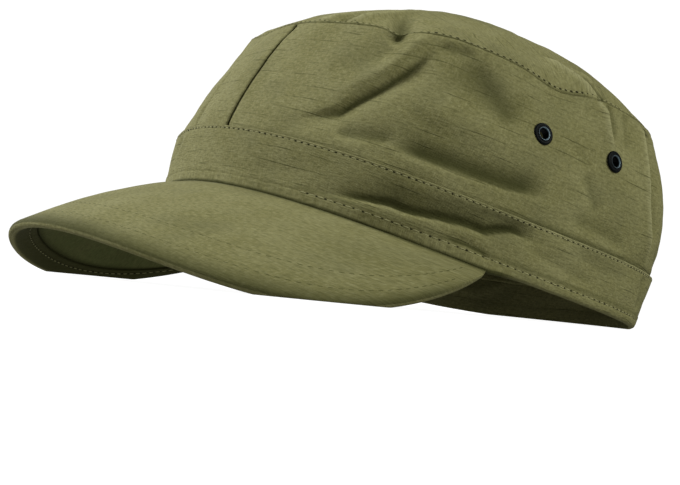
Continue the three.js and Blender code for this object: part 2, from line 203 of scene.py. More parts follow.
# the strip's section from the hem up its face, over the turned top edge and down its back: rise up the band,
# and distance out from its face
bandSection = [(0.0, -0.75), (0.012, -0.2), (0.04, 0.2), (0.1, 0.38), (0.135, 0.26), (0.15, 0.2), (0.17, 0.3),
               (0.2, 0.36), (0.225, 0.3), (0.24, 0.1), (0.3, 0.06), (0.45, 0.12), (0.65, 0.16), (0.82, 0.14),
               (0.92, 0.06), (0.95, -0.08), (0.965, 0.0), (0.98, 0.1), (0.995, 0.0), (1.0, -0.35),
               (0.99, -0.8), (0.9, -1.1), (0.75, -1.95), (0.35, -1.95), (0.03, -1.95), (0.0, -1.6)]
bandCrease = [(41, 0.25), (49, 0.34), (54.5, 0.4), (58, 0.44), (61, 0.42), (65, 0.45), (71, 0.52),
              (78, 0.57), (82.5, 0.56), (86, 0.67), (90, 0.76), (97, 0.72)]
bandFolds = [
    fold(bandCrease, (5, 1.2), depth=2.6, head=0.3, tail=0.15, dark=0.5, line=0.55),
    fold(bandCrease, (1.7, 0.8), depth=1.5, head=0.3, tail=0.2, dark=1.5, line=1),
    fold([(45, 0.17), (58, 0.26), (70, 0.34), (82, 0.4)], (2.4, 4), depth=-0.8, pale=0.1),
    fold([(50, 0.62), (64, 0.67), (78, 0.76), (90, 0.9)], (3, 4), depth=0.9, dark=0.45, line=1),
    fold([(71, 0.2), (78, 0.25), (82, 0.21), (86.5, 0.1)], (1.8, 1.3), depth=0.7, dark=0.5),
    fold([(90, 0.7), (97, 0.56), (106, 0.44), (116, 0.4)], (3, 2.4), depth=0.8, dark=0.25),
    fold([(104, 0.8), (114, 0.7), (124, 0.74)], (3, 3), depth=0.7, dark=0.2),
    fold([(-14, 0.97), (-15, 0.8), (-20, 0.5), (-24, 0.25)], (2.4, 3), depth=0.9, dark=0.2),
    fold([(-10, 0.95), (-11, 0.7), (-15, 0.4)], (2, 2), depth=-0.5, pale=0.3),
    fold([(20, 0.35), (31, 0.42), (40, 0.6)], (4, 3), depth=0.5, dark=0.12),
    fold([(131, 0.98), (133, 0.6), (135, 0.25)], (3, 2), depth=0.8, dark=0.3),
    fold([(205, 0.9), (214, 0.5), (226, 0.4)], (4, 2.4), depth=1.3, dark=0.4),
    fold([(302, 0.45), (288, 0.58), (270, 0.72)], (2.2, 4.5), depth=1.8, dark=0.6),
    fold([(258, 0.3), (243, 0.4), (232, 0.6)], (3, 4), depth=0.9, dark=0.2),
    fold([(166, 0.8), (180, 0.6), (192, 0.62)], (4, 4), depth=0.9, dark=0.2),
]


# how far the hem comes down onto the peak's root, deeper at the sides, where the peak is steeper
hemOver = {"front": 1.15, "side": 1.55, "fadeFrom": 85, "fadeTo": 97}


def degreesFromFront(angle):
    return np.degrees(np.arccos(np.cos(angle)))


def overPeak(angle):
    away = degreesFromFront(angle)
    depth = mix(hemOver["front"], hemOver["side"], ease(0, hemOver["fadeFrom"], away))
    return depth * (1 - ease(hemOver["fadeFrom"], hemOver["fadeTo"], away))


def bandField(angle, rise):
    return foldField(bandFolds, np.degrees(angle), rise, band["across"], band["height"])


def bandPoint(angle, rise, out, creased=True):
    lean = roundValue(angle, band["leanFront"], band["leanSide"], band["leanRear"])
    push = lean * rise + out
    if creased:
        inside = ease(0.02, 0.14, rise) * (1 - ease(0.86, 0.98, rise))
        push = push + bandField(angle, rise)[0] * inside
    level = openingPoint(angle) + outward(angle) * push[..., None]
    height = rimHeight(angle) + band["height"] * rise - overPeak(angle) * (1 - ease(0.012, 0.11, rise))
    return np.concatenate([level, height[..., None]], -1)


# crown wall and front panel
wall = {"thickness": 0.9, "across": 1.5, "up": 52, "tuck": 5.6, "tuckIn": 0.4, "stepKept": 0.3, "inset": 1.15,
        "gap": 0.35, "bulgeFront": -0.7, "bulgeSide": 3, "bulgeRear": 6.6, "swellPower": 1.05, "columns": 640,
        "rows": 70, "columnAt": [0, 0.56, 1], "roundAt": [0, 0.38, 1]}
pleat = {"lower": 7.9, "upper": 7.2, "lap": 1.4, "step": 1.25, "ramp": 1.5, "columns": 40}
wallFolds = [
    # the long drape fold, from the pocket at the top seam down to the front of the band, and the roll on it
    fold([(54.5, 0.93), (50.5, 0.82), (49, 0.71), (46.7, 0.62), (44.5, 0.53), (42, 0.45), (40, 0.38),
          (37.5, 0.28), (33.5, 0.21), (28, 0.14)], (4.8, 1.6), depth=2.7, head=0.3, tail=0.3, dark=0.3,
         line=0.5),
    fold([(52, 0.87), (49.5, 0.76), (47.2, 0.65), (44.8, 0.54), (42, 0.45), (40, 0.38), (37.5, 0.28),
          (33, 0.2)], (1.7, 0.9), depth=0.8, head=0.2, tail=0.3, dark=0.5, line=0.8),
    fold([(49.5, 1.0), (46.5, 0.86), (43.4, 0.69), (39.6, 0.56), (35.6, 0.43), (31, 0.31)], (3, 5.6),
         depth=-1.7, head=0.05, tail=0.5, pale=0.25, line=0.5),
    fold([(41.2, 1.03), (42.6, 0.94), (42.4, 0.85)], (3, 3.6), depth=2.3, head=0.02, tail=0.6, dark=0.35,
         line=0.8),
    fold([(41.6, 0.985), (42, 0.95)], (1.1, 1.1), depth=0.8, head=0.01, tail=0.01, dark=0.8, line=0.8),
    fold([(42.4, 0.87), (40.5, 0.76), (36, 0.66)], (3.5, 5), depth=1.3, head=0.1, tail=0.6, dark=0.15),
    fold([(52, 0.94), (57, 0.935), (63, 0.955)], (1.6, 2.4), depth=0.8, dark=0.4),
    # shallow valleys of the side
    fold([(55, 0.8), (64, 0.73), (72, 0.7), (84, 0.66)], (8, 7), depth=1.6, dark=0.22, line=0.9),
    fold([(50, 0.55), (62, 0.5), (76, 0.46), (92, 0.5)], (6, 6), depth=-0.9),
    fold([(52, 0.16), (61, 0.165), (70, 0.17), (82, 0.18), (96, 0.22)], (6.5, 2.2), depth=2.6, tail=0.2,
         dark=0.8, line=0.75),
    fold([(55, 0.135), (61, 0.135), (70.5, 0.135), (82, 0.145), (94, 0.185)], (0.7, 0.6), depth=0.35,
         dark=0.5, line=1),
    fold([(38, 0.13), (44, 0.14), (50, 0.17), (55, 0.2)], (4, 2.4), depth=1.3, dark=0.5),
    fold([(60, 0.93), (67, 0.8), (74, 0.66), (80, 0.52)], (4, 5), depth=1.4, dark=0.3, line=0.9),
    fold([(52, 0.42), (60, 0.36), (70, 0.33)], (3, 3), depth=0.7, dark=0.15),
    fold([(101, 0.47), (105, 0.34), (109, 0.21)], (3, 3), depth=1.2, dark=0.3),
    fold([(94.5, 0.64), (99, 0.56), (103, 0.5)], (3.4, 3), depth=0.8, dark=0.15),
    fold([(100, 0.14), (110, 0.13), (121, 0.1)], (5, 3), depth=1.2, dark=0.3),
    # the raised line that comes over from the top panel, and the gathers at the back
    fold([(101.5, 1.0), (104, 0.93), (105.5, 0.8), (107.8, 0.71), (109.5, 0.6)], (1.8, 5), depth=-2.5,
         head=0.03, tail=0.5, power=1.3, pale=1, line=0.32),
    fold([(105, 1.0), (107, 0.92), (108.4, 0.8), (110.5, 0.7)], (2.6, 1.4), depth=1.1, head=0.03, tail=0.5,
         dark=0.5, line=0.9),
    fold([(113, 1.0), (114, 0.84), (114, 0.7)], (4, 3), depth=1.3, head=0.05, dark=0.2),
    fold([(121, 0.99), (121.2, 0.88), (121.6, 0.77), (122, 0.65), (123.4, 0.47), (126, 0.29), (128.6, 0.16),
          (131, 0.05)], (1.5, 3.6), depth=-1.9, head=0.05, tail=0.2, power=1.4, pale=1, line=0.4),
    fold([(125.4, 1.0), (125, 0.88), (125.2, 0.77), (125.6, 0.6), (126.8, 0.45), (129.4, 0.28), (132, 0.14)],
         (8, 1.9), depth=4.2, head=0.05, tail=0.2, dark=0.9, line=0.35),
    fold([(134, 0.2), (144, 0.09), (158, 0.0)], (4, 3), depth=0.6, dark=0.3),
    fold([(150, 0.96), (153, 0.6), (150, 0.3)], (5, 5), depth=1.6, dark=0.2),
    fold([(176, 0.2), (170, 0.5), (174, 0.8)], (7, 5), depth=1.4, dark=0.2),
    fold([(200, 0.95), (203, 0.5), (206, 0.1)], (6, 2.6), depth=2.8, dark=0.6),
    fold([(197, 0.98), (199.5, 0.6), (202, 0.2)], (2, 3.4), depth=-1.2, power=1.4, pale=0.5, line=0.4),
    fold([(226, 0.8), (233, 0.5), (229, 0.2)], (5, 5), depth=1.5, dark=0.2),
    # the right side
    fold([(296, 0.92), (303, 0.7), (310, 0.45), (318, 0.25), (324, 0.15)], (2.6, 7), depth=2.9, dark=0.6,
         line=0.5),
    fold([(300, 0.95), (307, 0.72), (314, 0.5)], (5, 3), depth=-1.2, pale=0.2),
    fold([(236, 0.14), (260, 0.13), (285, 0.18), (300, 0.14)], (5.5, 2.6), depth=2.2, dark=0.6),
    fold([(262, 0.9), (270, 0.82), (284, 0.8)], (6, 5), depth=1.3, dark=0.2),
    fold([(326, 0.8), (334, 0.6), (341, 0.5)], (5, 4), depth=1.0, dark=0.15),
    # small lift beside the left pleat
    fold([(13, 0.1), (12, 0.4), (13, 0.85)], (6, 4), depth=0.6),
]


seamMiddle = (topSeam["front"] + topSeam["rear"]) / 2


def seamHeight(y):
    return mix(topSeam["frontHeight"], topSeam["rearHeight"],
               (y - topSeam["front"]) / (topSeam["rear"] - topSeam["front"]))


def seamDrop(angle, dips):
    return sum(dip["drop"] * nearDirection(angle, dip["at"], dip["width"]) for dip in dips)


def seamPoint(angle):
    reach = (topSeam["rear"] - topSeam["front"]) / 2
    level = ovalPoint(angle, reach, reach, topSeam)
    y = level[..., 1] + seamMiddle - prow["top"] * nearDirection(angle, 0, prow["width"])
    return np.stack([level[..., 0], y, seamHeight(y) - seamDrop(angle, seamDents)], -1)


def wallField(degrees, height):
    return foldField(wallFolds, degrees, height, wall["across"], wall["up"])


def wallFlat(degrees, height):
    return degrees * wall["across"], height * wall["up"]


def wallPush(degrees, height):
    x, y = wallFlat(degrees, height)
    push = wallField(degrees, height)[0]
    push = push + 0.6 * rumple(x, y, 17, 3.1) + 0.25 * rumple(x, y, 7, 8.4) + 0.1 * rumple(x, y, 3, 1.3)
    push = push + 0.55 * rumple(x, 0 * x, 4.5, 5.2) * bell((1 - height) * wall["up"], 5)
    return push + 0.45 * rumple(x, 0 * x, 6.5, 9.7) * bell(y, 4)


# behind the left eyelets, round the back, the band's top edge stands a little off the wall
def bandGap(angle):
    degrees = np.degrees(angle) % 360
    return ease(78, 96, degrees) * (1 - ease(255, 285, degrees))


def wallPoint(angle, height, out, pushed=True):
    up = np.maximum(height, 0)
    lower = bandPoint(angle, np.ones_like(angle), np.zeros_like(angle), creased=False)
    bulge = roundValue(angle, wall["bulgeFront"], wall["bulgeSide"], wall["bulgeRear"])
    inset = wall["inset"] + wall["gap"] * bandGap(angle)
    push = bulge * np.sin(math.pi * up ** wall["swellPower"]) - inset * (1 - up) ** 6 + out
    push = push + prow["middle"] * np.sin(math.pi * up) * nearDirection(angle, 0, prow["width"])
    if pushed:
        push = push + wallPush(np.degrees(angle), up) * ease(0, 0.07, up) * (1 - 0.75 * ease(0.94, 1, up))
    point = mix(lower, seamPoint(angle), up[..., None])
    point[..., :2] += outward(angle) * push[..., None]
    point[..., 2] -= seamDrop(angle, seamSags) * up ** 6
    down = np.minimum(-height * wall["up"] / wall["tuck"], 1)
    rise = 1 + height * wall["up"] / band["height"]
    tuckedOut = wall["stepKept"] * out - wall["inset"] - wall["tuckIn"]
    behind = bandPoint(angle, rise, mix(out - inset, tuckedOut, down))
    return np.where((height < 0)[..., None], behind, point)


def pleatAngle(height):
    return mix(pleat["lower"], pleat["upper"], np.maximum(height, 0))


def wallHeightAt(v):
    return mix(-wall["tuck"] / wall["up"], 1, v)


def wallPlace(u, v):
    height = wallHeightAt(v)
    edge = pleatAngle(height) - pleat["lap"]
    degrees = mix(edge, 360 - edge, np.interp(u, wall["columnAt"], wall["roundAt"]))
    fromPleat = np.minimum(degrees, 360 - degrees) - pleatAngle(height)
    step = -pleat["step"] * (1 - ease(-0.3, pleat["ramp"], fromPleat))
    point = wallPoint(np.radians(degrees), height, step)
    push, tone = wallField(degrees, height)
    # painted shade at the foot of the wall under the band's top edge, deeper where the band stands off,
    # painted shade in the fold valleys and paler ridges
    low = bell(height * wall["up"], 1.8) * mix(0.3, 0.8, bandGap(np.radians(degrees)))
    wearAndPaintedLight = 0.5 + 0.5 * tone - 0.5 * low + 0.04 * push
    return point, np.stack(wallFlat(degrees, height), -1), wearAndPaintedLight


def panelPlace(u, v):
    height = wallHeightAt(v)
    degrees = mix(-1, 1, u) * pleatAngle(height)
    fromEdge = (1 - np.abs(mix(-1, 1, u))) * pleatAngle(height) * wall["across"]
    point = wallPoint(np.radians(degrees), height, 0.1 - 0.5 * (1 - ease(0, 0.7, fromEdge)))
    return point, np.stack(wallFlat(degrees, height), -1), 0.5 + 0.3 * (1 - ease(0, 1.2, fromEdge))


# top panel
dome = {"rise": 27.5, "bend": 2.3, "backset": 7, "across": 1.4, "up": 80, "thickness": 0.9, "seamGap": 0.35,
        "turnAt": 0.955, "turnIn": 1.0, "turnDown": 4, "columns": 460, "rows": 88}
domeFolds = [
    fold([(15, 1.0), (18, 0.97), (21, 0.93), (23.5, 0.85), (25, 0.74)], (2.4, 5), depth=-1.9, head=0.08,
         tail=0.7, power=1.6, pale=1, line=0.5),
    fold([(25, 1.0), (29, 0.96), (32, 0.9), (34.5, 0.8), (37, 0.66)], (2.4, 5), depth=-2.4, head=0.08,
         tail=0.7, power=1.6, pale=1, line=0.5),
    fold([(22, 0.99), (26, 0.94), (28.5, 0.84)], (2.4, 2.4), depth=1.8, dark=0.7, line=1),
    fold([(42.5, 1.02), (42, 0.97), (38.8, 0.84), (38.5, 0.7)], (4, 4), depth=3.2, head=0.02, tail=0.6,
         dark=0.8, line=0.8),
    fold([(50, 1.0), (51, 0.93), (54, 0.8)], (4, 3.4), depth=-1.3, head=0.05, tail=0.6),
    fold([(60, 1.0), (61, 0.92), (60, 0.84)], (3.4, 3.4), depth=0.8, head=0.05, dark=0.15),
    fold([(86, 0.76), (90.5, 0.83), (96, 0.9), (99, 0.96), (101.5, 1.0)], (6, 2.2), depth=-2.4, head=0.4,
         tail=0.05, power=1.4, pale=1.2, line=0.4),
    fold([(89, 0.74), (94, 0.82), (99, 0.88), (103, 0.96), (104.5, 1.0)], (2, 4), depth=1.4, head=0.3,
         tail=0.05, dark=1, line=1),
    fold([(104.5, 0.99), (104, 0.88), (102.5, 0.76)], (2, 4), depth=-1.8, head=0.05, tail=0.5, pale=0.8,
         line=0.35),
    fold([(88, 0.98), (86, 0.86), (80, 0.72)], (8, 7), depth=1.2, head=0.1, tail=0.5),
    fold([(114, 1.0), (112, 0.85), (108, 0.66)], (6, 5), depth=2.2, head=0.05, tail=0.5, dark=0.25),
    fold([(128, 1.0), (127, 0.86), (124, 0.74)], (4, 3), depth=2.8, head=0.03, tail=0.5, dark=0.4),
    fold([(155, 1.0), (152, 0.8), (140, 0.6)], (6, 6), depth=1.5, head=0.05, dark=0.2),
    fold([(200, 1.0), (204, 0.84), (214, 0.7)], (6, 4), depth=2.4, head=0.05, dark=0.4),
    fold([(250, 0.98), (246, 0.8), (228, 0.6)], (4, 7), depth=-1.8, head=0.1, power=1.5, pale=0.4, line=0.4),
    fold([(296, 1.0), (300, 0.86), (312, 0.7)], (5, 4), depth=2.8, head=0.05, dark=0.4),
    fold([(340, 1.0), (338, 0.86), (330, 0.74)], (4, 5), depth=-1.4, head=0.1, pale=0.2),
]


def domeShare(v):
    return np.sin(v * math.pi / 2) ** 0.8


def domePoint(angle, share):
    edge = seamPoint(angle)
    x = edge[..., 0] * share
    y = seamMiddle + (edge[..., 1] - seamMiddle) * share
    rise = dome["rise"] * (1 - share ** dome["bend"])
    rise = rise - dome["backset"] * share * (1 - share) * np.cos(angle)
    degrees = np.degrees(angle)
    fade = 1 - 0.85 * ease(0.95, 1, share)
    push, tone = foldField(domeFolds, degrees, share, dome["across"], dome["up"])
    small = 0.9 * rumple(x, y, 26, 4.4) + 0.35 * rumple(x, y, 9, 2.9) + 0.12 * rumple(x, y, 3.5, 5.9)
    pucker = 0.6 * rumple(degrees * dome["across"], 0 * x, 4.5, 6.6) * ease(0.86, 0.97, share)
    drop = seamDrop(angle, seamDents) * share ** 6 + seamDrop(angle, seamSags) * share ** 12
    z = seamHeight(y) - drop + dome["seamGap"] + rise
    return np.stack([x, y, z + (push + small + pucker) * fade], -1), tone


# the raw edge turns in under the seam and down behind the wall
def domePlace(u, v):
    angle = 2 * math.pi * u
    share = domeShare(np.minimum(v / dome["turnAt"], 1))
    point, tone = domePoint(angle, share)
    turned = np.maximum(v - dome["turnAt"], 0) / (1 - dome["turnAt"])
    point[..., :2] -= outward(angle) * (dome["turnIn"] * ease(0, 0.25, turned))[..., None]
    point[..., 2] -= dome["turnDown"] * turned
    # painted shade along the top seam where the edge turns under, with the folds' painted shade and paler
    # ridge lines
    edge = bell((1 - share) * dome["up"], 1.2)
    return point, point[..., :2], 0.5 + 0.5 * tone - 0.25 * edge


# peak: its middle surface, board and lining
peak = {"length": 58.8, "halfSpan": 85.5, "fan": 0.53, "frontSlope": 23, "sideSlope": 14, "droop": 0.003,
        "fullness": 0.01, "cornerPower": 4.1, "cornerRound": 0.8, "tip": 0.995, "rootInset": 0.8,
        "bandGap": 0.4, "rootHalf": 1.3, "half": 1.9, "cornerShare": 0.6, "thickenBy": 14, "border": 9,
        "sunk": 0.6, "edgeStitch": 7.4, "innerStitch": 16, "underStitch": 6.6, "stitchTip": 0.93,
        "columns": 320}
# how many rows each part of the peak's section has, and the rows between which its dents and its painted
# shade and painted lit line lie
peakRows = {"top": 46, "edge": 13, "border": 10, "under": 12, "dentsTo": 47, "darkTo": 50, "litLineAt": 54,
            "borderFrom": 58, "tuckFrom": 65, "tuckTo": 71}
lining = {"lift": -1.35, "thickness": 0.6, "tip": 0.93, "rootGap": 1.5, "borderGap": 0.7, "columns": 160,
          "rows": 40}


def peakReach(across):
    corner = (1 - np.abs(across) ** peak["cornerPower"]) ** peak["cornerRound"]
    return peak["length"] * corner * (1 - peak["fullness"] * (1 - np.cos(2 * math.pi * across)))


def peakMiddle(across, share):
    angle = math.radians(peak["halfSpan"]) * across
    slope = np.radians(peak["frontSlope"] + peak["sideSlope"] * (1 - np.cos(math.pi * across)) / 2)
    heading = peak["fan"] * angle
    reach = peakReach(across) * share
    root = openingPoint(angle) - outward(angle) * peak["rootInset"]
    drop = peak["bandGap"] + peak["rootHalf"] / np.cos(slope)
    return np.stack([
        root[..., 0] + reach * np.sin(heading) * np.cos(slope),
        root[..., 1] - reach * np.cos(heading) * np.cos(slope),
        rimHeight(angle) - drop - reach * np.sin(slope) - peak["droop"] * reach * reach,
    ], -1)


def peakPoint(across, share, lift):
    step = 1e-3
    alongEdge = peakMiddle(across + step * 0.5, share) - peakMiddle(across - step * 0.5, share)
    alongRuling = peakMiddle(across, share + step) - peakMiddle(across, share - step)
    normal = np.cross(alongEdge, alongRuling)
    normal /= np.linalg.norm(normal, axis=-1, keepdims=True)
    normal *= np.sign(normal[..., 2:3])
    return peakMiddle(across, share) + normal * lift[..., None]


def borderShare(across):
    return np.maximum(0.3, 1 - peak["border"] / np.maximum(peakReach(across), 8))


# rows of the peak's section, from the root over the top, round the edge and back under to the root
def boardRows(across):
    reach = peakReach(across)
    full = peak["half"] * mix(peak["cornerShare"], 1, ease(0, peak["thickenBy"], reach))
    bend = np.minimum(full / np.maximum(reach, 1e-3), 0.5)
    border = borderShare(across)
    under = -np.minimum(full, peak["sunk"])
    rows = []
    for k in np.linspace(0, 1, peakRows["top"]):
        share = (1 - bend) * k
        rows.append((share, mix(peak["rootHalf"], full, ease(0, 0.2, share))))
    for turn in np.radians(np.linspace(90, -90, peakRows["edge"])[1:-1]):
        rows.append((1 - bend + bend * math.cos(turn), full * math.sin(turn)))
    for k in np.linspace(0, 1, peakRows["border"]):
        rows.append((mix(1 - bend, border, k), -full))
    rows.append((border - 0.004, -full + 0.15))
    rows.append((border - 0.009, under - 0.3))
    for k in np.linspace(0, 1, peakRows["under"]):
        rows.append(((border - 0.014) * (1 - k), under))
    shares, lifts = zip(*rows)
    return np.array(shares), np.array([lift * np.ones_like(across) for lift in lifts])


def peakDents(across, share, reach):
    fromEdge = (1 - share) * reach
    groove = 0
    for at in (peak["edgeStitch"], peak["innerStitch"]):
        groove = groove - 0.06 * bell(fromEdge - at, 0.8)
    flatX, flatY = across * 120, share * reach
    return groove + 0.3 * rumple(flatX, flatY, 24, 1.7) + 0.1 * rumple(flatX, flatY, 7, 6.1)


def boardPlace(u, v):
    across = mix(-1, 1, u) * peak["tip"]
    shares, lifts = boardRows(across)
    count = len(shares)
    row = np.round(v * (count - 1)).astype(int)
    pick = np.arange(len(row))
    share, lift = shares[row, pick], lifts[row, pick]
    reach = peakReach(across)
    fromEdge = (1 - share) * reach
    onTop = (row < peakRows["dentsTo"]) * ease(0.5, 6, reach) * ease(0, 0.1, share)
    lift = lift + onTop * peakDents(across, share, reach)
    atStitch = bell(fromEdge - peak["underStitch"], 2) * (row > peakRows["borderFrom"])
    lift = lift + atStitch * (0.2 + 0.3 * rumple(across * 125, 0 * across, 1.9, 3.7)) * ease(4, 12, reach)
    point = peakPoint(across, share, lift)
    # painted shade towards the near edge of the top and at the root, a painted lit line along the edge,
    # painted shade over the underside and in the ledge beside the lining
    wearAndPaintedLight = 0.42 - 0.36 * bell(fromEdge, 5.5) * (row < peakRows["darkTo"]) * ease(0, 30, reach)
    wearAndPaintedLight = wearAndPaintedLight + 0.45 * bell(row - peakRows["litLineAt"], 0.9) - 0.45 * bell(share * reach, 1.1)
    wearAndPaintedLight = wearAndPaintedLight - 0.47 * ease(peakRows["litLineAt"], peakRows["borderFrom"], row)
    wearAndPaintedLight = wearAndPaintedLight - 0.3 * (row > peakRows["tuckFrom"]) * (row < peakRows["tuckTo"])
    steps = np.hypot(np.diff(shares, axis=0, prepend=shares[:1]) * reach,
                     np.diff(lifts, axis=0, prepend=lifts[:1]))
    along = np.cumsum(steps, axis=0)[row, pick]
    return point, np.stack([point[..., 0], along], -1), wearAndPaintedLight


def liningPlace(u, v):
    across = mix(-1, 1, u) * lining["tip"]
    reach = peakReach(across)
    outer = borderShare(across) - lining["borderGap"] / reach
    share = mix(lining["rootGap"] / reach, outer, v)
    lift = lining["lift"] + 0.12 * rumple(across * 120, share * reach, 12, 7.3)
    point = peakPoint(across, share, lift)
    # painted shade towards the lining's outer edge, in the step beside the board's border
    return point, point[..., :2], 0.45 - 0.45 * bell((1 - v) * reach, 2)


# finishes: the paler colour serves for wear and for painted highlights, the deep one for dark flecks and for
# painted shade in creases, and the hole colour is painted shade in the needle holes
finish = {
    "cloth": (0.152, 0.146, 0.058), "wornAndLit": (0.25, 0.243, 0.12), "deep": (0.03, 0.032, 0.008),
    "lining": (0.1, 0.115, 0.038), "thread": (0.25, 0.243, 0.115), "hole": (0.022, 0.022, 0.008),
    "black": (0.0025, 0.0032, 0.003), "rim": (0.085, 0.12, 0.135), "sunken": (0.055, 0.055, 0.018),
}


# inputs and outputs give each socket's name and value: a number, a vector of three or a colour of four
def newGroup(name, inputs, outputs):
    group = bpy.data.node_groups.new(name, "ShaderNodeTree")
    for way, sockets in (("INPUT", inputs), ("OUTPUT", outputs)):
        for label, value in sockets.items():
            kind = {1: "NodeSocketFloat", 3: "NodeSocketVector", 4: "NodeSocketColor"}[np.size(value)]
            group.interface.new_socket(name=label, in_out=way, socket_type=kind).default_value = value
    return group, group.nodes.new("NodeGroupInput").outputs, group.nodes.new("NodeGroupOutput").inputs


def feed(tree, socket, value):
    if isinstance(value, bpy.types.NodeSocket):
        tree.links.new(value, socket)
    else:
        socket.default_value = value


def maths(tree, operation, a, b=0.0):
    node = tree.nodes.new("ShaderNodeMath")
    node.operation = operation
    feed(tree, node.inputs[0], a)
    feed(tree, node.inputs[1], b)
    return node.outputs[0]


def span(tree, value, low, high, toLow=0.0, toHigh=1.0):
    node = tree.nodes.new("ShaderNodeMapRange")
    for i, given in enumerate((value, low, high, toLow, toHigh)):
        feed(tree, node.inputs[i], given)
    return node.outputs[0]


def blendColour(tree, amount, a, b):
    node = tree.nodes.new("ShaderNodeMix")
    node.data_type = "RGBA"
    feed(tree, node.inputs["Factor"], amount)
    feed(tree, node.inputs[6], a)
    feed(tree, node.inputs[7], b)
    return node.outputs[2]


def speckle(tree, place, scale, detail, stretch=(1, 1, 1)):
    mapping = tree.nodes.new("ShaderNodeMapping")
    mapping.inputs["Scale"].default_value = stretch
    feed(tree, mapping.inputs["Vector"], place)
    texture = tree.nodes.new("ShaderNodeTexNoise")
    texture.inputs["Detail"].default_value = detail
    feed(tree, texture.inputs["Vector"], mapping.outputs[0])
    feed(tree, texture.inputs["Scale"], scale)
    return texture.outputs[0]


# ripstop cloth: a fine plain weave with thicker yarns at even distances, broken up along their length
def makeRipstop():
    group, given, out = newGroup(
        "ripstop", {"Cloth": (0, 0, 0), "Yarn": 0.0007, "Grid": 0.0052, "Line": 0.00028, "Ripstop": 1.0},
        {"Height": 0.0, "Lines": 0.0})
    cloth, grid = given["Cloth"], given["Grid"]
    split = group.nodes.new("ShaderNodeSeparateXYZ")
    feed(group, split.inputs[0], cloth)
    waves, lines = [], []
    for axis, stretch, low in ((0, (420, 70, 1), 0.6), (1, (62, 420, 1), 0.47)):
        along = split.outputs[axis]
        turn = maths(group, "MULTIPLY", maths(group, "DIVIDE", along, given["Yarn"]), 2 * math.pi)
        waves.append(maths(group, "COSINE", turn))
        wander = maths(group, "MULTIPLY", speckle(group, cloth, 1, 1, (34, 34, 1)), 0.55)
        cell = maths(group, "ADD", maths(group, "DIVIDE", along, grid), wander)
        off = maths(group, "ABSOLUTE", maths(group, "SUBTRACT", maths(group, "FRACT", cell), 0.5))
        line = span(group, maths(group, "MULTIPLY", off, grid), 0, given["Line"], 1, 0)
        broken = span(group, speckle(group, cloth, 1, 2, stretch), low, low + 0.14)
        lines.append(maths(group, "MULTIPLY", line, broken))
    weave = maths(group, "MULTIPLY", waves[0], waves[1])
    level = speckle(group, cloth, 1, 2, (420, 1700, 1))
    upright = speckle(group, cloth, 1, 2, (1700, 420, 1))
    rough = maths(group, "ADD", level, maths(group, "MULTIPLY", upright, 0.6))
    both = maths(group, "MAXIMUM", maths(group, "MULTIPLY", lines[0], 0.4), lines[1])
    both = maths(group, "MULTIPLY", both, given["Ripstop"])
    height = maths(group, "ADD", maths(group, "MULTIPLY", weave, 0.1), rough)
    feed(group, out["Height"], maths(group, "ADD", height, maths(group, "MULTIPLY", both, 0.5)))
    feed(group, out["Lines"], both)
    return group


# cloth colour: paler where the cloth stands proud, partly wear and partly a painted highlight, darker in its
# valleys and creases with painted shade, with soft mottling and fine flecks
def makeWashedDye():
    group, given, out = newGroup(
        "dyeAndPaintedLight", {"Cloth": (0, 0, 0), "Base": (0.2, 0.2, 0.1, 1), "Worn": (0.3, 0.3, 0.2, 1),
                      "Deep": (0.1, 0.1, 0.05, 1), "Wear": 0.5, "Lines": 0.0},
        {"Colour": (0, 0, 0, 1)})
    cloth, wearAndPaintedLight, lines = given["Cloth"], given["Wear"], given["Lines"]
    layers = [
        ("Worn", span(group, speckle(group, cloth, 80, 3), 0.38, 0.75, 0, 0.36)),
        ("Worn", span(group, speckle(group, cloth, 1, 3, (1500, 700, 1)), 0.48, 0.75, 0, 0.55)),
        # paler where the tone is high: wear and painted highlight
        ("Worn", span(group, wearAndPaintedLight, 0.55, 1.0, 0, 0.75)),
        ("Deep", span(group, speckle(group, cloth, 40, 3), 0.5, 0.8, 0, 0.42)),
        ("Deep", span(group, speckle(group, cloth, 1, 3, (500, 1300, 1)), 0.42, 0.75, 0, 0.42)),
        # painted shade where the tone is low, in creases, valleys and at seams
        ("Deep", span(group, wearAndPaintedLight, 0.45, 0.0, 0, 0.85)),
        ("Deep", maths(group, "MULTIPLY", lines, 0.6)),
    ]
    colour = given["Base"]
    for label, amount in layers:
        colour = blendColour(group, amount, colour, given[label])
    feed(group, out["Colour"], colour)
    return group


ripstop = makeRipstop()
dyeAndPaintedLight = makeWashedDye()


def newMaterial(name, roughness, metallic=0.0):
    material = bpy.data.materials.new(name)
    material.use_nodes = True
    shader = material.node_tree.nodes["Principled BSDF"]
    shader.inputs["Roughness"].default_value = roughness
    shader.inputs["Metallic"].default_value = metallic
    return material, material.node_tree, shader


def placeGroup(tree, group, **given):
    node = tree.nodes.new("ShaderNodeGroup")
    node.node_tree = group
    for label, value in given.items():
        feed(tree, node.inputs[label], value)
    return node.outputs


